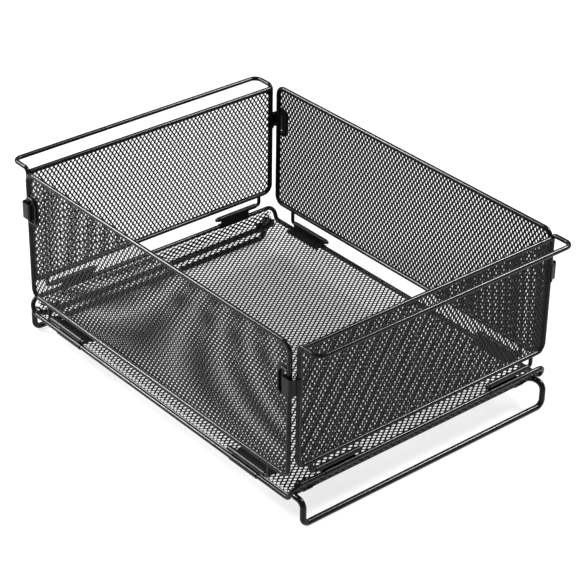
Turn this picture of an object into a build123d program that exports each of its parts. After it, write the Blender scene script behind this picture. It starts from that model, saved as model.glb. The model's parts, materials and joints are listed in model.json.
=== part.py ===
from build123d import *
from math import hypot, radians, tan
import os

os.makedirs("parts", exist_ok=True)

# Collapsible wire-and-mesh basket. Millimetres, +Z up, +X along the long side.
# The origin is under the middle of the basket, on the plane it stands on.

# wire and sheet stock
WALL_WIRE = 4.6         # diameter of the side and end wall frames
BASE_WIRE = 4.8         # diameter of the floor frame
FOOT_WIRE = 6.0         # diameter of the folding feet
ROD_WIRE = 4.0          # diameter of the hinge rods
KEEPER_WIRE = 2.5       # diameter of the catch loops
SLEEVE_SHEET = 0.7      # sheet the hinge sleeves are rolled from
HOOK_SHEET = 1.2        # sheet the corner hooks are bent from
MESH = 1.0              # thickness of the expanded metal panels
WELD = 0.3              # how far welded wires and panels sink into each other
GRIP = 0.05             # how tightly a rolled tab or a hook grips its wire
RUN = 0.07              # radial running clearance of rods and feet

# floor frame
HALF_Y = 158.0          # side rails and side walls, wire centre
HALF_X = 205.2          # end rails and end walls, wire centre
SIDE_RAIL_Z = 28.0
END_RAIL_Z = 42.0       # the ends of the floor frame are turned up
RAMP_X = 199.5          # where the floor frame starts to turn up
RAMP_BEND = 5.0
FLOOR_CORNER = 9.0
FLOOR_MESH_Z = 30.8     # middle of the floor mesh, which lies on the rails
FLOOR_MESH_Y = 156.6
MESH_TURN_X = 201.3     # where the floor mesh turns up
MESH_TOP_X = 203.3
MESH_TOP_Z = 42.4
MESH_END_Y = 152.0      # half width of the turned-up mesh
MESH_CORNER = 4.0       # cut off the floor mesh at its four corners

# side walls (the two long ones)
SIDE_AXIS_Z = 36.0
SIDE_BOTTOM_Z = 50.5
SIDE_TOP_Z = 188.2
SIDE_HALF_X = 198.5
WALL_CORNER = 9.0

# end walls (the two short ones, with the carrying rail)
END_AXIS_Z = 50.8
END_BOTTOM_Z = 62.0
END_RAIL_TOP_Z = 185.0
END_HALF_Y = 153.1      # the end walls fold down between the side walls
HANDLE_Z = 188.6
HANDLE_OUT = 24.8       # how far the carrying rail stands out from the wall
HANDLE_BEND = 5.0
HANDLE_CORNER = 8.0

# hinge rods and sleeves
SIDE_SLEEVES_X = (117.0, 167.0)
END_SLEEVES_Y = (81.5, 132.5)
SLEEVE_TAB = 38.0       # length of the part that wraps the rail
TAB_SHIFT = 4.5         # how far that part sits towards the middle of the basket
FLANGE_WIDTH = 14.0     # side sleeves lie on the floor mesh, this far in from the rail
ROD_LEG = 5.0           # from sleeve end to the middle of the rod's leg
ROD_BEND = 3.0
ROD_TIP = 3.5           # how far the rod's free end sticks out
ROD_FLAT = 0.8          # radius of the flat left on the rounded end
TAB_MARGIN = 0.6        # room left in the floor mesh round the tabs

# catch loops on the side walls and hooks on the end walls
KEEPER_Z = (135.6, 162.0)
KEEPER_DEPTH = 13.0
KEEPER_CORNER = 6.0
KEEPER_Y = 159.6        # the loops are welded on the outside of the mesh
KEEPER_WELD = 0.6       # the loop's ends stop short of the post's middle
HOOK_Z = (139.0, 156.0)
HOOK_FACE_Y = 162.2
HOOK_TIP_X = 193.4
HOOK_TIP_IN = 5.0       # the tip reaches into a slot in the mesh panel
HOOK_BENDS = [3.0, 1.5]
HOOK_MOUTH = 1.2        # the grip is open towards the mesh from here
SLOT_X = (191.6, 198.5)
SLOT_Z = (135.8, 159.2)
SLOT_CORNER = 1.5

# feet
FOOT_AXIS_X = 194.7
FOOT_AXIS_Z = 27.2
FOOT_OUT_X = 211.7
FOOT_HALF_Y = 151.0
FOOT_BEND = 7.0
SADDLE_Y = (128.0, 138.0)
SADDLE_FLANGE = 6.5
SADDLE_SHEET = 0.6
SHEET_WELD = 0.1        # how far a flange sinks into the floor mesh


def rounded_path(points, radii):
    """Lines and arcs through the points of a closed path, each corner rounded."""
    count = len(points)
    pts = [Vector(*p) for p in points]
    starts, ends, mids = [], [], []
    for i in range(count):
        before = (pts[i - 1] - pts[i]).normalized()
        after = (pts[(i + 1) % count] - pts[i]).normalized()
        half = radians(before.get_angle(after)) / 2
        reach = radii[i] / tan(half)
        starts.append(pts[i] + before * reach)
        ends.append(pts[i] + after * reach)
        middle = (before + after).normalized()
        to_centre = hypot(radii[i], reach)
        mids.append(pts[i] + middle * (to_centre - radii[i]))
    for i in range(count):
        ThreePointArc(starts[i], mids[i], ends[i])
        Line(ends[i], starts[(i + 1) % count])


def open_path(points, radii):
    """Lines and arcs through the points of an open path; radii for its inner corners."""
    pts = [Vector(*p) for p in points]
    here = pts[0]
    for i in range(1, len(pts) - 1):
        before = (pts[i - 1] - pts[i]).normalized()
        after = (pts[i + 1] - pts[i]).normalized()
        half = radians(before.get_angle(after)) / 2
        radius = radii[i - 1]
        reach = radius / tan(half)
        start = pts[i] + before * reach
        end = pts[i] + after * reach
        middle = pts[i] + (before + after).normalized() * (hypot(radius, reach) - radius)
        Line(here, start)
        ThreePointArc(start, middle, end)
        here = end
    Line(here, pts[-1])


def keep(part, name):
    """Name a finished piece and write its file."""
    part.label = name
    export_step(part, "parts/" + name + ".step")


# ---------------------------------------------------------------- floor frame

ramp = [
    (RAMP_X, -HALF_Y, SIDE_RAIL_Z), (HALF_X, -HALF_Y, END_RAIL_Z),
    (HALF_X, HALF_Y, END_RAIL_Z), (RAMP_X, HALF_Y, SIDE_RAIL_Z),
    (-RAMP_X, HALF_Y, SIDE_RAIL_Z), (-HALF_X, HALF_Y, END_RAIL_Z),
    (-HALF_X, -HALF_Y, END_RAIL_Z), (-RAMP_X, -HALF_Y, SIDE_RAIL_Z),
]
ramp_radii = [RAMP_BEND, FLOOR_CORNER, FLOOR_CORNER, RAMP_BEND] * 2

with BuildPart() as base_frame:
    with BuildLine() as floor_loop:
        rounded_path(ramp, ramp_radii)
    floor_start = floor_loop.wire()
    with BuildSketch(Plane(origin=floor_start @ 0, z_dir=floor_start % 0)):
        Circle(BASE_WIRE / 2)
    sweep(path=floor_start)
keep(base_frame.part, "base_frame")

# ---------------------------------------------------------------- floor mesh

MESH_LOW = FLOOR_MESH_Z - MESH / 2
MESH_HIGH = FLOOR_MESH_Z + MESH / 2
side_sleeve_x = sum(SIDE_SLEEVES_X) / 2
end_sleeve_y = sum(END_SLEEVES_Y) / 2
side_tab_x = side_sleeve_x - TAB_SHIFT
end_tab_y = end_sleeve_y - TAB_SHIFT
RAIL_RING = BASE_WIRE / 2 + SLEEVE_SHEET

with BuildPart() as base_mesh:
    with BuildSketch(Plane.XY.offset(MESH_LOW)):
        Rectangle(2 * MESH_TURN_X, 2 * FLOOR_MESH_Y)
    extrude(amount=MESH)
    corner_edges = base_mesh.edges().filter_by(Axis.Z)
    chamfer(corner_edges, MESH_CORNER)
    for side in (-1, 1):
        with BuildSketch(Plane.XZ):
            with BuildLine():
                Polyline(
                    (side * (MESH_TURN_X - MESH), MESH_LOW),
                    (side * MESH_TURN_X, MESH_LOW),
                    (side * MESH_TOP_X, MESH_TOP_Z),
                    (side * (MESH_TOP_X - MESH), MESH_TOP_Z),
                    (side * (MESH_TURN_X - MESH), MESH_HIGH),
                    close=True,
                )
            make_face()
        extrude(amount=MESH_END_Y, both=True)
    # room for the parts of the sleeves that wrap the rails
    for side in (-1, 1):
        with Locations(
            (-side_tab_x, side * HALF_Y, SIDE_RAIL_Z),
            (side_tab_x, side * HALF_Y, SIDE_RAIL_Z),
        ):
            Box(SLEEVE_TAB + 2 * TAB_MARGIN, 2 * (RAIL_RING + TAB_MARGIN), 4 * RAIL_RING,
                mode=Mode.SUBTRACT)
        with Locations(
            (side * HALF_X, -end_tab_y, END_RAIL_Z),
            (side * HALF_X, end_tab_y, END_RAIL_Z),
        ):
            Box(2 * (RAIL_RING + TAB_MARGIN), SLEEVE_TAB + 2 * TAB_MARGIN,
                2 * (RAIL_RING + TAB_MARGIN), mode=Mode.SUBTRACT)
keep(base_mesh.part, "base_mesh")

# ---------------------------------------------------------------- hinge sleeves

TUBE_IN = ROD_WIRE / 2 + RUN
TUBE_OUT = TUBE_IN + SLEEVE_SHEET
RING_IN = BASE_WIRE / 2 - GRIP

side_sleeves = {
    "sleeve_front_left": (-1, -1),
    "sleeve_front_right": (1, -1),
    "sleeve_back_left": (-1, 1),
    "sleeve_back_right": (1, 1),
}
side_length = SIDE_SLEEVES_X[1] - SIDE_SLEEVES_X[0]
side_rise = SIDE_AXIS_Z - SIDE_RAIL_Z
SIDE_WEB = BASE_WIRE / 2                # the web stands this far in from the rail's middle
FLANGE_LOW = MESH_HIGH - SHEET_WELD
flange_span = FLANGE_WIDTH - SIDE_WEB + SLEEVE_SHEET / 2

for sleeve_name, (end, side) in side_sleeves.items():
    mid_y = side * HALF_Y
    tube_plane = Plane.YZ.offset(end * side_sleeve_x)
    tab_plane = Plane.YZ.offset(end * side_tab_x)
    with BuildPart() as sleeve:
        # tube for the hinge rod, and the leaf that runs from it down and over the floor mesh
        with BuildSketch(tube_plane):
            with Locations((mid_y, SIDE_AXIS_Z)):
                Circle(TUBE_OUT)
            with Locations((mid_y - side * SIDE_WEB, (SIDE_AXIS_Z + FLANGE_LOW) / 2)):
                Rectangle(SLEEVE_SHEET, SIDE_AXIS_Z - FLANGE_LOW)
            with Locations((
                mid_y - side * (FLANGE_WIDTH - flange_span / 2), FLANGE_LOW + SLEEVE_SHEET / 2,
            )):
                Rectangle(flange_span, SLEEVE_SHEET)
        extrude(amount=side_length / 2, both=True)
        # ring that wraps the rail, and the web between ring and tube
        with BuildSketch(tab_plane):
            with Locations((mid_y, SIDE_RAIL_Z)):
                Circle(RAIL_RING)
            with Locations((mid_y - side * SIDE_WEB, SIDE_RAIL_Z + side_rise / 2)):
                Rectangle(SLEEVE_SHEET, side_rise)
        extrude(amount=SLEEVE_TAB / 2, both=True)
        with BuildSketch(tube_plane):
            with Locations((mid_y, SIDE_AXIS_Z)):
                Circle(TUBE_IN)
            with Locations((mid_y, SIDE_RAIL_Z)):
                Circle(RING_IN)
        extrude(amount=side_length / 2, both=True, mode=Mode.SUBTRACT)
    keep(sleeve.part, sleeve_name)

end_sleeves = {
    "sleeve_left_front": (-1, -1),
    "sleeve_left_back": (-1, 1),
    "sleeve_right_front": (1, -1),
    "sleeve_right_back": (1, 1),
}
end_length = END_SLEEVES_Y[1] - END_SLEEVES_Y[0]
end_rise = END_AXIS_Z - END_RAIL_Z
END_WEB = BASE_WIRE / 2

for sleeve_name, (side, end) in end_sleeves.items():
    mid_x = side * HALF_X
    tube_plane = Plane.XZ.offset(-end * end_sleeve_y)
    tab_plane = Plane.XZ.offset(-end * end_tab_y)
    with BuildPart() as sleeve:
        with BuildSketch(tube_plane):
            with Locations((mid_x, END_AXIS_Z)):
                Circle(TUBE_OUT)
        extrude(amount=end_length / 2, both=True)
        with BuildSketch(tab_plane):
            with Locations((mid_x, END_RAIL_Z)):
                Circle(RAIL_RING)
            with Locations((mid_x - side * END_WEB, END_RAIL_Z + end_rise / 2)):
                Rectangle(SLEEVE_SHEET, end_rise)
        extrude(amount=SLEEVE_TAB / 2, both=True)
        with BuildSketch(tube_plane):
            with Locations((mid_x, END_AXIS_Z)):
                Circle(TUBE_IN)
            with Locations((mid_x, END_RAIL_Z)):
                Circle(RING_IN)
        extrude(amount=end_length / 2, both=True, mode=Mode.SUBTRACT)
    keep(sleeve.part, sleeve_name)

# ---------------------------------------------------------------- foot saddles

SADDLE_IN = FOOT_WIRE / 2 + RUN
SADDLE_OUT = SADDLE_IN + SADDLE_SHEET
saddle_mid_y = sum(SADDLE_Y) / 2
saddle_width = SADDLE_Y[1] - SADDLE_Y[0]
FLANGE_TOP = MESH_LOW + SHEET_WELD      # the flanges are welded under the floor mesh

saddles = {
    "saddle_left_front": (-FOOT_AXIS_X, -saddle_mid_y),
    "saddle_left_back": (-FOOT_AXIS_X, saddle_mid_y),
    "saddle_right_front": (FOOT_AXIS_X, -saddle_mid_y),
    "saddle_right_back": (FOOT_AXIS_X, saddle_mid_y),
}
for saddle_name, (mid_x, mid_y) in saddles.items():
    section = Plane(origin=(0, mid_y, 0), x_dir=(1, 0, 0), z_dir=(0, -1, 0))
    with BuildPart() as saddle:
        with BuildSketch(section):
            with Locations((mid_x, FOOT_AXIS_Z)):
                Circle(SADDLE_OUT)
            with Locations((mid_x, (FOOT_AXIS_Z + FLANGE_TOP) / 2)):
                Rectangle(2 * SADDLE_OUT, FLANGE_TOP - FOOT_AXIS_Z)
            with Locations((mid_x, FLANGE_TOP - SADDLE_SHEET / 2)):
                Rectangle(2 * (SADDLE_OUT + SADDLE_FLANGE / 2), SADDLE_SHEET)
            with Locations((mid_x, FOOT_AXIS_Z + SADDLE_OUT + FLANGE_TOP - FOOT_AXIS_Z)):
                Rectangle(4 * SADDLE_OUT, 2 * SADDLE_OUT, mode=Mode.SUBTRACT)
            with Locations((mid_x, FOOT_AXIS_Z)):
                Circle(SADDLE_IN, mode=Mode.SUBTRACT)
            with Locations((mid_x, FOOT_AXIS_Z + SADDLE_IN)):
                Rectangle(2 * SADDLE_IN, 2 * SADDLE_IN, mode=Mode.SUBTRACT)
        extrude(amount=saddle_width / 2, both=True)
    keep(saddle.part, saddle_name)

# ---------------------------------------------------------------- side walls

WALL_R = WALL_WIRE / 2
side_height = SIDE_TOP_Z - SIDE_BOTTOM_Z
side_mid_z = (SIDE_TOP_Z + SIDE_BOTTOM_Z) / 2

for wall, side in (("front", -1), ("back", 1)):
    wall_y = side * HALF_Y

    with BuildPart() as wall_frame:
        with BuildLine() as wall_loop:
            rounded_path(
                [
                    (-SIDE_HALF_X, wall_y, SIDE_BOTTOM_Z), (SIDE_HALF_X, wall_y, SIDE_BOTTOM_Z),
                    (SIDE_HALF_X, wall_y, SIDE_TOP_Z), (-SIDE_HALF_X, wall_y, SIDE_TOP_Z),
                ],
                [WALL_CORNER] * 4,
            )
        wall_wire = wall_loop.wire()
        with BuildSketch(Plane(origin=wall_wire @ 0, z_dir=wall_wire % 0)):
            Circle(WALL_R)
        sweep(path=wall_wire)
    keep(wall_frame.part, "wall_" + wall + "_frame")

    with BuildPart() as wall_mesh:
        with BuildSketch(Plane.XZ.offset(-wall_y)):
            with Locations((0, side_mid_z)):
                RectangleRounded(
                    2 * (SIDE_HALF_X - WALL_R + WELD), side_height - 2 * (WALL_R - WELD),
                    WALL_CORNER - WALL_R + WELD,
                )
        extrude(amount=MESH / 2, both=True)
        # the two slots that the tips of the corner hooks reach into
        with BuildSketch(Plane.XZ.offset(-wall_y)):
            for end in (-1, 1):
                with Locations((end * sum(SLOT_X) / 2, sum(SLOT_Z) / 2)):
                    RectangleRounded(SLOT_X[1] - SLOT_X[0], SLOT_Z[1] - SLOT_Z[0], SLOT_CORNER)
        extrude(amount=MESH, both=True, mode=Mode.SUBTRACT)
    keep(wall_mesh.part, "wall_" + wall + "_mesh")

    for end_name, end in (("left", -1), ("right", 1)):
        leg_x = end * (SIDE_SLEEVES_X[1] + ROD_LEG)
        tip_x = end * (SIDE_SLEEVES_X[0] - ROD_TIP)
        with BuildPart() as rod:
            with BuildLine() as rod_line:
                open_path(
                    [
                        (tip_x, wall_y, SIDE_AXIS_Z), (leg_x, wall_y, SIDE_AXIS_Z),
                        (leg_x, wall_y, SIDE_BOTTOM_Z - WALL_R + WELD),
                    ],
                    [ROD_BEND],
                )
            rod_wire = rod_line.wire()
            with BuildSketch(Plane(origin=rod_wire @ 0, z_dir=rod_wire % 0)):
                Circle(ROD_WIRE / 2)
            sweep(path=rod_wire)
            tip_edges = rod.faces().filter_by(GeomType.PLANE).sort_by(Axis.Z)[0].edges()
            fillet(tip_edges, ROD_WIRE / 2 - ROD_FLAT)
        keep(rod.part, "wall_" + wall + "_rod_" + end_name)

        post_x = end * (SIDE_HALF_X - KEEPER_WELD)
        loop_x = end * (SIDE_HALF_X - KEEPER_DEPTH)
        loop_y = side * KEEPER_Y
        with BuildPart() as keeper:
            with BuildLine() as keeper_line:
                open_path(
                    [
                        (post_x, loop_y, KEEPER_Z[0]), (loop_x, loop_y, KEEPER_Z[0]),
                        (loop_x, loop_y, KEEPER_Z[1]), (post_x, loop_y, KEEPER_Z[1]),
                    ],
                    [KEEPER_CORNER, KEEPER_CORNER],
                )
            keeper_wire = keeper_line.wire()
            with BuildSketch(Plane(origin=keeper_wire @ 0, z_dir=keeper_wire % 0)):
                Circle(KEEPER_WIRE / 2)
            sweep(path=keeper_wire)
        keep(keeper.part, "wall_" + wall + "_keeper_" + end_name)

# ---------------------------------------------------------------- end walls

for wall, side in (("left", -1), ("right", 1)):
    wall_x = side * HALF_X
    handle_x = side * (HALF_X + HANDLE_OUT)

    with BuildPart() as end_frame:
        with BuildLine() as end_loop:
            rounded_path(
                [
                    (wall_x, -END_HALF_Y, END_BOTTOM_Z), (wall_x, END_HALF_Y, END_BOTTOM_Z),
                    (wall_x, END_HALF_Y, HANDLE_Z), (handle_x, END_HALF_Y, HANDLE_Z),
                    (handle_x, -END_HALF_Y, HANDLE_Z), (wall_x, -END_HALF_Y, HANDLE_Z),
                ],
                [WALL_CORNER, WALL_CORNER, HANDLE_BEND, HANDLE_CORNER, HANDLE_CORNER, HANDLE_BEND],
            )
        end_wire = end_loop.wire()
        with BuildSketch(Plane(origin=end_wire @ 0, z_dir=end_wire % 0)):
            Circle(WALL_R)
        sweep(path=end_wire)
    keep(end_frame.part, "end_" + wall + "_frame")

    with BuildPart() as top_rail:
        with BuildSketch(Plane.XZ.offset(-(END_HALF_Y - WALL_R + WELD))):
            with Locations((wall_x, END_RAIL_TOP_Z)):
                Circle(WALL_R)
        extrude(amount=2 * (END_HALF_Y - WALL_R + WELD))
    keep(top_rail.part, "end_" + wall + "_top_rail")

    end_low = END_BOTTOM_Z + WALL_R - WELD
    end_high = END_RAIL_TOP_Z - WALL_R + WELD
    with BuildPart() as end_mesh:
        with BuildSketch(Plane.YZ.offset(wall_x)):
            with Locations((0, (end_low + end_high) / 2)):
                Rectangle(2 * (END_HALF_Y - WALL_R + WELD), end_high - end_low)
        extrude(amount=MESH / 2, both=True)
        low_corners = end_mesh.edges().filter_by(Axis.X).sort_by(Axis.Z)[:2]
        fillet(low_corners, WALL_CORNER - WALL_R + WELD)
    keep(end_mesh.part, "end_" + wall + "_mesh")

    for end_name, end in (("front", -1), ("back", 1)):
        leg_y = end * (END_SLEEVES_Y[1] + ROD_LEG)
        tip_y = end * (END_SLEEVES_Y[0] - ROD_TIP)
        with BuildPart() as rod:
            with BuildLine() as rod_line:
                open_path(
                    [
                        (wall_x, tip_y, END_AXIS_Z), (wall_x, leg_y, END_AXIS_Z),
                        (wall_x, leg_y, END_BOTTOM_Z - WALL_R + WELD),
                    ],
                    [ROD_BEND],
                )
            rod_wire = rod_line.wire()
            with BuildSketch(Plane(origin=rod_wire @ 0, z_dir=rod_wire % 0)):
                Circle(ROD_WIRE / 2)
            sweep(path=rod_wire)
            tip_edges = rod.faces().filter_by(GeomType.PLANE).sort_by(Axis.Z)[0].edges()
            fillet(tip_edges, ROD_WIRE / 2 - ROD_FLAT)
        keep(rod.part, "end_" + wall + "_rod_" + end_name)

        # bent sheet hook: grips the end wall's wire, crosses the corner outside the
        # side wall, and turns in at its tip through the catch loop
        post_y = end * END_HALF_Y
        face_y = end * HOOK_FACE_Y
        tip_y = end * (HOOK_FACE_Y - HOOK_TIP_IN)
        tip_x = side * HOOK_TIP_X
        with BuildPart() as hook:
            with BuildSketch(Plane.XY.offset(HOOK_Z[0])):
                with BuildLine() as hook_line:
                    open_path(
                        [
                            (wall_x, post_y + end * WALL_R, 0), (wall_x, face_y, 0),
                            (tip_x, face_y, 0), (tip_x, tip_y, 0),
                        ],
                        HOOK_BENDS,
                    )
                trace(hook_line.wire(), line_width=HOOK_SHEET)
                with Locations((wall_x, post_y)):
                    Circle(WALL_R + HOOK_SHEET)
                with Locations((wall_x, post_y - end * (HOOK_MOUTH + WALL_WIRE))):
                    Rectangle(2 * WALL_WIRE, 2 * WALL_WIRE, mode=Mode.SUBTRACT)
                with Locations((wall_x, post_y)):
                    Circle(WALL_R - GRIP, mode=Mode.SUBTRACT)
            extrude(amount=HOOK_Z[1] - HOOK_Z[0])
        keep(hook.part, "end_" + wall + "_hook_" + end_name)

# ---------------------------------------------------------------- feet

for wall, side in (("left", -1), ("right", 1)):
    axis_x = side * FOOT_AXIS_X
    out_x = side * FOOT_OUT_X
    with BuildPart() as foot:
        with BuildLine() as foot_loop:
            rounded_path(
                [
                    (axis_x, -FOOT_HALF_Y, FOOT_AXIS_Z), (axis_x, FOOT_HALF_Y, FOOT_AXIS_Z),
                    (out_x, FOOT_HALF_Y, FOOT_AXIS_Z), (out_x, FOOT_HALF_Y, FOOT_WIRE / 2),
                    (out_x, -FOOT_HALF_Y, FOOT_WIRE / 2), (out_x, -FOOT_HALF_Y, FOOT_AXIS_Z),
                ],
                [FOOT_BEND] * 6,
            )
        foot_wire = foot_loop.wire()
        with BuildSketch(Plane(origin=foot_wire @ 0, z_dir=foot_wire % 0)):
            Circle(FOOT_WIRE / 2)
        sweep(path=foot_wire)
    keep(foot.part, "foot_" + wall)
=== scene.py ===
import json
import math

import bmesh
import bpy
from mathutils import Matrix, Vector


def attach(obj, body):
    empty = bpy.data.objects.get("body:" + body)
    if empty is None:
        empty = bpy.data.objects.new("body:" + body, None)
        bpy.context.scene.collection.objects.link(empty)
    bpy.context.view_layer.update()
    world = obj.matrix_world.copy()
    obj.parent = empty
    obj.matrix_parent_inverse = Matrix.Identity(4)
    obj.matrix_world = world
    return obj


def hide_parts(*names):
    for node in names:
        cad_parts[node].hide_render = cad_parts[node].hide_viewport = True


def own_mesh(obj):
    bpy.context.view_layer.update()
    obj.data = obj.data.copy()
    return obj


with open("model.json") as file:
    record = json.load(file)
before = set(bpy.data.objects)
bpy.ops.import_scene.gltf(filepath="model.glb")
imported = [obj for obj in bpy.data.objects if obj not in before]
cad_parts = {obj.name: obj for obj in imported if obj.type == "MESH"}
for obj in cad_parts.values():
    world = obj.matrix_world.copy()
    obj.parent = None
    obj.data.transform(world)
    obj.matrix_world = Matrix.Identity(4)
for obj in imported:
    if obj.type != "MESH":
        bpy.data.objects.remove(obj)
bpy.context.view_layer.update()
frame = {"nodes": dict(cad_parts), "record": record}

MM = 0.001

# ------------------------------------------------------------------ dimensions, in millimetres

# expanded mesh: one diamond's long and short way, and its strands
LONG_WAY = 7.70
SHORT_WAY = 5.05
STRAND = 1.62               # width of a strand, seen square on
KNUCKLE = 0.35              # how much the bond at a diamond's short tips cuts the opening
TILT = 0.26                 # how far a strand's edges stand out of the sheet, to either side
HALF_SHEET = 0.22           # half the thickness of a strand

# panels: centre lines of the wires round them, from part.py
WALL_R = 2.3
HALF_Y = 158.0
HALF_X = 205.2
SIDE_BOTTOM_Z, SIDE_TOP_Z, SIDE_HALF_X = 50.5, 188.2, 198.5
END_BOTTOM_Z, END_TOP_Z, END_HALF_Y = 62.0, 185.0, 153.1
WALL_CORNER = 9.0
HEM = 1.0                   # width of the flat strip between wire and diamonds
HALF_HEM = 0.45             # half its thickness
HEM_BEVEL = 0.2
LOOP_INSET = 1.0            # a diamond needs its middle at least this far inside the wire

# the side panels are left solid inside and round each catch loop, with a slot for the hook
CATCH_U, CATCH_Z = 182.0, (132.2, 165.4)
CATCH_CORNER = 9.0
CATCH_INSET = 1.4           # a diamond stays if its middle is no further than this inside that area
POST_SIDE_CORNER = 0.3      # corner radius of that area where it meets the post
SLOT_U, SLOT_Z = (191.6, 197.2), (135.8, 159.2)
SLOT_CORNER = 1.5

# floor
FLOOR_Z = 30.8
FLOOR_Y = 156.6
FLOOR_TURN_X = 200.9        # where the mesh turns up, middle of the sheet
FLOOR_TOP_X, FLOOR_TOP_Z = 202.75, 42.0
FLOOR_END_Y = 152.0
FLOOR_CORNER = 4.0
FLOOR_HEM = 0.6
FLOOR_END_MARGIN = 1.0      # no diamond's middle is nearer to the side of the turned-up strip

# ------------------------------------------------------------------ camera

CAMERA_AZIMUTH = -40.361    # degrees from +X towards +Y, from the aim point to the camera
CAMERA_ELEVATION = 30.906
CAMERA_ROLL = 0.921
CAMERA_DISTANCE = 2050.305
CAMERA_ASIDE = -8.506
CAMERA_ABOVE = 77.163
LENS = 127.846


def make_camera():
    az, el, roll = (math.radians(a) for a in (CAMERA_AZIMUTH, CAMERA_ELEVATION, CAMERA_ROLL))
    back = Vector((math.cos(el) * math.cos(az), math.cos(el) * math.sin(az), math.sin(el)))
    right = (-back).cross(Vector((0, 0, 1))).normalized()
    up = right.cross(-back)
    x_axis = right * math.cos(roll) + up * math.sin(roll)
    y_axis = up * math.cos(roll) - right * math.sin(roll)
    place = back * CAMERA_DISTANCE - x_axis * CAMERA_ASIDE + y_axis * CAMERA_ABOVE
    camera = bpy.data.objects.new("camera", bpy.data.cameras.new("camera"))
    camera.data.lens = LENS
    camera.data.clip_start = 0.01
    camera.data.clip_end = 50
    turn = Matrix((x_axis, y_axis, back)).transposed().to_4x4()
    camera.matrix_world = Matrix.Translation(place * MM) @ turn
    bpy.context.scene.collection.objects.link(camera)
    bpy.context.scene.camera = camera


# ------------------------------------------------------------------ materials


def powder_coat(name, colour, roughness, grain, bump):
    """Black powder coat: fine orange peel, slight cloudiness of colour and gloss."""
    mat = bpy.data.materials.new(name)
    mat.use_nodes = True
    mat.diffuse_color = (*colour, 1)
    nodes, links = mat.node_tree.nodes, mat.node_tree.links
    shader = nodes["Principled BSDF"]
    shader.inputs["Base Color"].default_value = (*colour, 1)
    shader.inputs["Specular IOR Level"].default_value = 0.18
    shader.inputs["IOR"].default_value = 1.5
    place = nodes.new("ShaderNodeTexCoord")

    cloud = nodes.new("ShaderNodeTexNoise")
    cloud.inputs["Scale"].default_value = 60
    cloud.inputs["Detail"].default_value = 3
    links.new(place.outputs["Object"], cloud.inputs["Vector"])
    tint = nodes.new("ShaderNodeValToRGB")
    tint.color_ramp.elements[0].position = 0.3
    tint.color_ramp.elements[1].position = 0.75
    tint.color_ramp.elements[0].color = (*[c * 0.75 for c in colour], 1)
    tint.color_ramp.elements[1].color = (*[c * 1.35 for c in colour], 1)
    links.new(cloud.outputs["Fac"], tint.inputs["Fac"])
    links.new(tint.outputs["Color"], shader.inputs["Base Color"])

    peel = nodes.new("ShaderNodeTexNoise")
    peel.inputs["Scale"].default_value = grain
    peel.inputs["Detail"].default_value = 2
    links.new(place.outputs["Object"], peel.inputs["Vector"])
    gloss = nodes.new("ShaderNodeMapRange")
    gloss.inputs["To Min"].default_value = roughness - 0.06
    gloss.inputs["To Max"].default_value = roughness + 0.08
    links.new(peel.outputs["Fac"], gloss.inputs["Value"])
    links.new(gloss.outputs["Result"], shader.inputs["Roughness"])
    relief = nodes.new("ShaderNodeBump")
    relief.inputs["Strength"].default_value = bump
    relief.inputs["Distance"].default_value = 0.0001
    links.new(peel.outputs["Fac"], relief.inputs["Height"])
    links.new(relief.outputs["Normal"], shader.inputs["Normal"])
    return mat


wire_coat = powder_coat("wire_coat", (0.0035, 0.0035, 0.004), 0.23, 1500, 0.2)
mesh_coat = powder_coat("mesh_coat", (0.0025, 0.0025, 0.003), 0.38, 1800, 0.3)
sheet_coat = powder_coat("sheet_coat", (0.004, 0.004, 0.0045), 0.32, 1400, 0.3)
foot_coat = powder_coat("foot_coat", (0.0035, 0.0035, 0.004), 0.22, 1300, 0.2)


def coat_cad_nodes():
    coats = {"hinge_sheet": sheet_coat, "foot_wire": foot_coat, "frame_wire": wire_coat}
    for part in frame["record"]["subparts"]:
        coat = coats.get(part["material_slot"], mesh_coat)
        node = frame["nodes"][part["node"]]
        node.data.materials.clear()
        node.data.materials.append(coat)


# ------------------------------------------------------------------ expanded mesh


class Sheet:
    """Vertices and faces of one panel, in panel coordinates (u, v, out of the panel)."""

    def __init__(self):
        self.points = []
        self.faces = []

    def add(self, u, v, n):
        self.points.append((u, v, n))
        return len(self.points) - 1


def opening_outline(half_u, half_v):
    """The six corners of one diamond's opening, with how far each stands out of the sheet."""
    to_edge = half_u * half_v / math.hypot(half_u, half_v)
    share = 1 - STRAND / 2 / to_edge
    tip_u, tip_v = half_u * share, half_v * share
    flat_u = tip_u - KNUCKLE
    flat_v = tip_v * KNUCKLE / tip_u
    return [
        (flat_u, -flat_v, -TILT), (flat_u, flat_v, -TILT), (0.0, tip_v, 0.0),
        (-flat_u, flat_v, TILT), (-flat_u, -flat_v, TILT), (0.0, -tip_v, 0.0),
    ]


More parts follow.
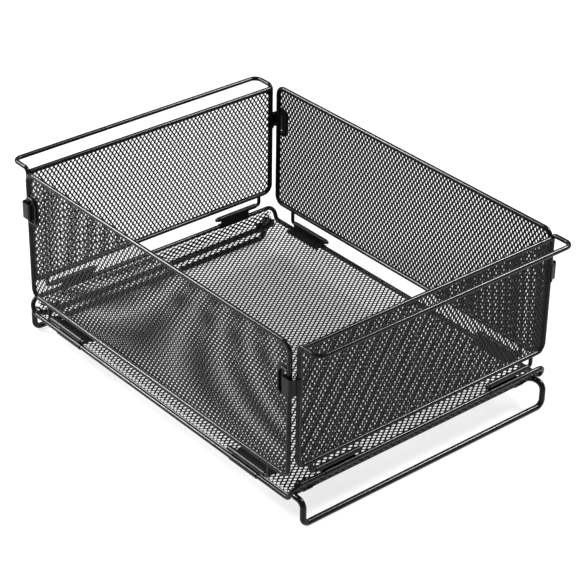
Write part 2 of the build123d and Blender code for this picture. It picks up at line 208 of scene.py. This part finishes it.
def add_diamonds(sheet, u_range, v_range, wanted):
    """Expanded mesh from edge to edge, over every diamond for which wanted(u, v) is true."""
    columns = 2 * round((u_range[1] - u_range[0]) / SHORT_WAY)
    rows = 2 * round((v_range[1] - v_range[0]) / LONG_WAY)
    half_u = (u_range[1] - u_range[0]) / columns
    half_v = (v_range[1] - v_range[0]) / rows
    cells = set()
    for i in range(1, columns):
        for j in range(1, rows):
            if (i + j) % 2 == 0 and wanted(u_range[0] + i * half_u, v_range[0] + j * half_v):
                cells.add((i, j))
    outline = opening_outline(half_u, half_v)
    junctions = {}

    def junction(i, j, side):
        if (i, j, side) not in junctions:
            junctions[i, j, side] = sheet.add(
                u_range[0] + i * half_u, v_range[0] + j * half_v, side * HALF_SHEET)
        return junctions[i, j, side]

    # which corners and opening points each face of the ring uses; numbers above 3 are opening points
    ring = [(0, 5, 4), (0, 1, 6, 5), (1, 2, 7, 6), (2, 8, 7), (2, 3, 9, 8), (3, 0, 4, 9)]
    steps = [(1, 0), (0, 1), (-1, 0), (0, -1)]
    beyond = [(1, 1), (-1, 1), (-1, -1), (1, -1)]
    for i, j in sorted(cells):
        u, v = u_range[0] + i * half_u, v_range[0] + j * half_v
        corners = {}
        for side in (1, -1):
            corner = [junction(i + a, j + b, side) for a, b in steps]
            inner = [sheet.add(u + a, v + b, n + side * HALF_SHEET) for a, b, n in outline]
            corners[side] = corner + inner
            for face in ring:
                picked = [corners[side][k] for k in face]
                sheet.faces.append(picked if side == 1 else picked[::-1])
        for k in range(6):
            a, b = 4 + k, 4 + (k + 1) % 6
            sheet.faces.append([corners[1][b], corners[1][a], corners[-1][a], corners[-1][b]])
        for k, (a, b) in enumerate(beyond):
            if (i + a, j + b) not in cells:
                c, d = k, (k + 1) % 4
                sheet.faces.append([corners[1][c], corners[1][d], corners[-1][d], corners[-1][c]])


def rounded_loop(u0, u1, v0, v1, left, right, steps=6):
    """A rectangle as a closed list of points, with the corner radii of its left and right side."""
    loop = []
    corners = [(u1 - right, v0 + right, right), (u1 - right, v1 - right, right),
               (u0 + left, v1 - left, left), (u0 + left, v0 + left, left)]
    for quarter, (u, v, radius) in enumerate(corners):
        for k in range(steps + 1):
            a = math.radians(90 * (quarter - 1 + k / steps))
            loop.append((u + radius * math.cos(a), v + radius * math.sin(a)))
    return loop


def add_strip(sheet, outer, inner, closed=True):
    """A flat strip with bevelled edges between two lists of points of the same length."""
    count = len(outer)
    rows = []
    for (ou, ov), (iu, iv) in zip(outer, inner):
        du, dv = ou - iu, ov - iv
        length = math.hypot(du, dv)
        bu, bv = du / length * HEM_BEVEL, dv / length * HEM_BEVEL
        low = HALF_HEM - HEM_BEVEL
        section = [
            (ou - bu, ov - bv, HALF_HEM), (iu + bu, iv + bv, HALF_HEM), (iu, iv, low), (iu, iv, -low),
            (iu + bu, iv + bv, -HALF_HEM), (ou - bu, ov - bv, -HALF_HEM), (ou, ov, -low), (ou, ov, low),
        ]
        rows.append([sheet.add(u, v, n) for u, v, n in section])
    pairs = range(count) if closed else range(count - 1)
    for k in pairs:
        a, b = rows[k], rows[(k + 1) % count]
        for m in range(8):
            n = (m + 1) % 8
            sheet.faces.append([a[m], b[m], b[n], a[n]])
    if not closed:
        sheet.faces.append(rows[0][::-1])
        sheet.faces.append(rows[-1])


def make_piece(name, sheet, place, material):
    """Turns a panel into an object; place gives a point in the row frame, in millimetres."""
    points = [Vector(place(*p)) * MM for p in sheet.points]
    mesh = bpy.data.meshes.new(name)
    mesh.from_pydata(points, [], sheet.faces)
    mesh.validate()
    mesh.materials.append(material)
    piece = bpy.data.objects.new(name, mesh)
    bpy.context.scene.collection.objects.link(piece)
    fix_normals(mesh)
    mesh.shade_smooth()
    return piece


def fix_normals(mesh):
    work = bmesh.new()
    work.from_mesh(mesh)
    bmesh.ops.recalc_face_normals(work, faces=work.faces)
    work.to_mesh(mesh)
    work.free()


def inside_rounded(u, v, u0, u1, v0, v1, radius):
    """True inside a rectangle with round corners."""
    if not (u0 <= u <= u1 and v0 <= v <= v1):
        return False
    cu = min(max(u, u0 + radius), u1 - radius)
    cv = min(max(v, v0 + radius), v1 - radius)
    return math.hypot(u - cu, v - cv) <= radius + 1e-9


def add_hem(sheet, half_u, v_low, v_high):
    """The flat strip inside a wall's wire."""
    rim = WALL_R + HEM
    inner_corner = WALL_CORNER - WALL_R
    outer = rounded_loop(-half_u, half_u, v_low, v_high, WALL_CORNER, WALL_CORNER)
    inner = rounded_loop(-half_u + rim, half_u - rim, v_low + rim, v_high - rim, inner_corner, inner_corner)
    add_strip(sheet, outer, inner)


def in_wire_loop(u, v, half_u, v_low, v_high):
    """True where a diamond's middle lies inside the wire round the wall."""
    return inside_rounded(
        u, v, -half_u + LOOP_INSET, half_u - LOOP_INSET, v_low + LOOP_INSET, v_high - LOOP_INSET,
        WALL_CORNER - LOOP_INSET)


def make_side_wall(wall, side):
    sheet = Sheet()

    def wanted(u, v):
        in_catch = inside_rounded(
            abs(u), v, CATCH_U + CATCH_INSET, 2 * SIDE_HALF_X, CATCH_Z[0] + CATCH_INSET,
            CATCH_Z[1] - CATCH_INSET, CATCH_CORNER - CATCH_INSET)
        return not in_catch and in_wire_loop(u, v, SIDE_HALF_X, SIDE_BOTTOM_Z, SIDE_TOP_Z)

    add_diamonds(sheet, (-SIDE_HALF_X, SIDE_HALF_X), (SIDE_BOTTOM_Z, SIDE_TOP_Z), wanted)
    add_hem(sheet, SIDE_HALF_X, SIDE_BOTTOM_Z, SIDE_TOP_Z)
    right_outer = rounded_loop(CATCH_U, SIDE_HALF_X, *CATCH_Z, CATCH_CORNER, POST_SIDE_CORNER)
    right_slot = rounded_loop(*SLOT_U, *SLOT_Z, SLOT_CORNER, SLOT_CORNER)
    left_outer = rounded_loop(-SIDE_HALF_X, -CATCH_U, *CATCH_Z, POST_SIDE_CORNER, CATCH_CORNER)
    left_slot = rounded_loop(-SLOT_U[1], -SLOT_U[0], *SLOT_Z, SLOT_CORNER, SLOT_CORNER)
    add_strip(sheet, right_outer, right_slot)
    add_strip(sheet, left_outer, left_slot)
    piece = make_piece("wall_" + wall + "_panel", sheet, lambda u, v, n: (u, side * (HALF_Y + n), v),
                       mesh_coat)
    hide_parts("wall_" + wall + "_mesh")
    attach(piece, "wall_" + wall)


def make_end_wall(wall, side):
    sheet = Sheet()

    def wanted(u, v):
        return in_wire_loop(u, v, END_HALF_Y, END_BOTTOM_Z, END_TOP_Z)

    add_diamonds(sheet, (-END_HALF_Y, END_HALF_Y), (END_BOTTOM_Z, END_TOP_Z), wanted)
    add_hem(sheet, END_HALF_Y, END_BOTTOM_Z, END_TOP_Z)
    piece = make_piece("end_" + wall + "_panel", sheet, lambda u, v, n: (side * (HALF_X + n), u, v),
                       mesh_coat)
    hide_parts("end_" + wall + "_mesh")
    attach(piece, "end_" + wall)


def make_floor_mesh(half, way):
    """One half of the floor's expanded mesh: flat over the rails, turned up at the end."""
    sheet = Sheet()
    rise = math.hypot(FLOOR_TOP_X - FLOOR_TURN_X, FLOOR_TOP_Z - FLOOR_Z)
    lean = math.atan2(FLOOR_TOP_X - FLOOR_TURN_X, FLOOR_TOP_Z - FLOOR_Z)
    length = FLOOR_TURN_X + rise

    def wanted(u, v):
        if way * u < 0:
            return False
        if abs(u) > FLOOR_TURN_X - SHORT_WAY / 2:
            return abs(v) < FLOOR_END_Y - FLOOR_END_MARGIN
        return abs(u) + abs(v) < FLOOR_TURN_X + FLOOR_Y - FLOOR_CORNER - LONG_WAY / 2

    add_diamonds(sheet, (-length, length), (-FLOOR_Y, FLOOR_Y), wanted)
    corner_u = way * (FLOOR_TURN_X - FLOOR_CORNER)
    for side in (-1, 1):
        outer = [(0, side * FLOOR_Y), (corner_u, side * FLOOR_Y)]
        inner = [(0, side * (FLOOR_Y - FLOOR_HEM)), (corner_u, side * (FLOOR_Y - FLOOR_HEM))]
        add_strip(sheet, outer, inner, closed=False)
    outer = [(way * length, -FLOOR_END_Y), (way * length, FLOOR_END_Y)]
    inner = [(way * (length - FLOOR_HEM), -FLOOR_END_Y), (way * (length - FLOOR_HEM), FLOOR_END_Y)]
    add_strip(sheet, outer, inner, closed=False)

    def place(u, v, n):
        past = abs(u) - FLOOR_TURN_X
        if past <= 0:
            return (u, v, FLOOR_Z + n)
        x = FLOOR_TURN_X + past * math.sin(lean) - n * math.cos(lean)
        return (way * x, v, FLOOR_Z + past * math.cos(lean) + n * math.sin(lean))

    piece = make_piece("base_panel_" + half, sheet, place, mesh_coat)
    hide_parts("base_mesh")
    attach(piece, "base")


# ------------------------------------------------------------------ hooks


def flatten_hooks():
    """Gives each end wall's hooks their own copies of their meshes, attached to that wall."""
    for wall in ("left", "right"):
        for name, end in (("front", -1), ("back", 1)):
            node = "end_" + wall + "_hook_" + name
            original = frame["nodes"][node]
            piece = bpy.data.objects.new("hook_" + wall + "_" + name, original.data.copy())
            bpy.context.scene.collection.objects.link(piece)
            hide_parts(node)
            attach(piece, "end_" + wall)
            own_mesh(piece)


# ------------------------------------------------------------------ studio


STUDIO_REACH = 6.0          # metres
STUDIO_GREY = 0.2
STUDIO_GLOW = 0.78
SKY_STRENGTH = 0.3
AIM = Vector((0, 0, 0.08))
LIGHTS = (                  # name, place and size in metres, power in watts
    ("key", (-1.30, -0.80, 1.30), 0.4, 72),
    ("back", (0.50, 1.10, 1.40), 0.4, 52),
    ("front", (-1.40, -1.30, 0.75), 0.3, 10),
)


def make_studio():
    """A pale floor, a soft sky and three lamps."""
    mesh = bpy.data.meshes.new("studio_floor")
    reach = STUDIO_REACH
    mesh.from_pydata([(-reach, -reach, 0), (reach, -reach, 0), (reach, reach, 0), (-reach, reach, 0)],
                     [], [(0, 1, 2, 3)])
    floor = bpy.data.objects.new("studio_floor", mesh)
    bpy.context.scene.collection.objects.link(floor)
    mat = bpy.data.materials.new("studio_floor")
    mat.use_nodes = True
    shader = mat.node_tree.nodes["Principled BSDF"]
    shader.inputs["Base Color"].default_value = (STUDIO_GREY, STUDIO_GREY, STUDIO_GREY, 1)
    shader.inputs["Roughness"].default_value = 0.9
    shader.inputs["Specular IOR Level"].default_value = 0.1
    shader.inputs["Emission Color"].default_value = (1, 1, 1, 1)
    shader.inputs["Emission Strength"].default_value = STUDIO_GLOW
    mesh.materials.append(mat)

    world = bpy.data.worlds.new("studio")
    world.use_nodes = True
    world.node_tree.nodes["Background"].inputs["Color"].default_value = (1, 1, 1, 1)
    world.node_tree.nodes["Background"].inputs["Strength"].default_value = SKY_STRENGTH
    bpy.context.scene.world = world

    for name, place, size, power in LIGHTS:
        light = bpy.data.lights.new(name, "AREA")
        light.size = size
        light.energy = power
        lamp = bpy.data.objects.new(name, light)
        lamp.location = place
        lamp.rotation_mode = "QUATERNION"
        lamp.rotation_quaternion = (AIM - Vector(place)).to_track_quat("-Z", "Y")
        bpy.context.scene.collection.objects.link(lamp)
    bpy.context.scene.view_settings.view_transform = "Standard"


make_camera()
coat_cad_nodes()
for wall_name, wall_side in (("front", -1), ("back", 1)):
    make_side_wall(wall_name, wall_side)
for wall_name, wall_side in (("left", -1), ("right", 1)):
    make_end_wall(wall_name, wall_side)
make_floor_mesh("left", -1)
make_floor_mesh("right", 1)
flatten_hooks()
make_studio()
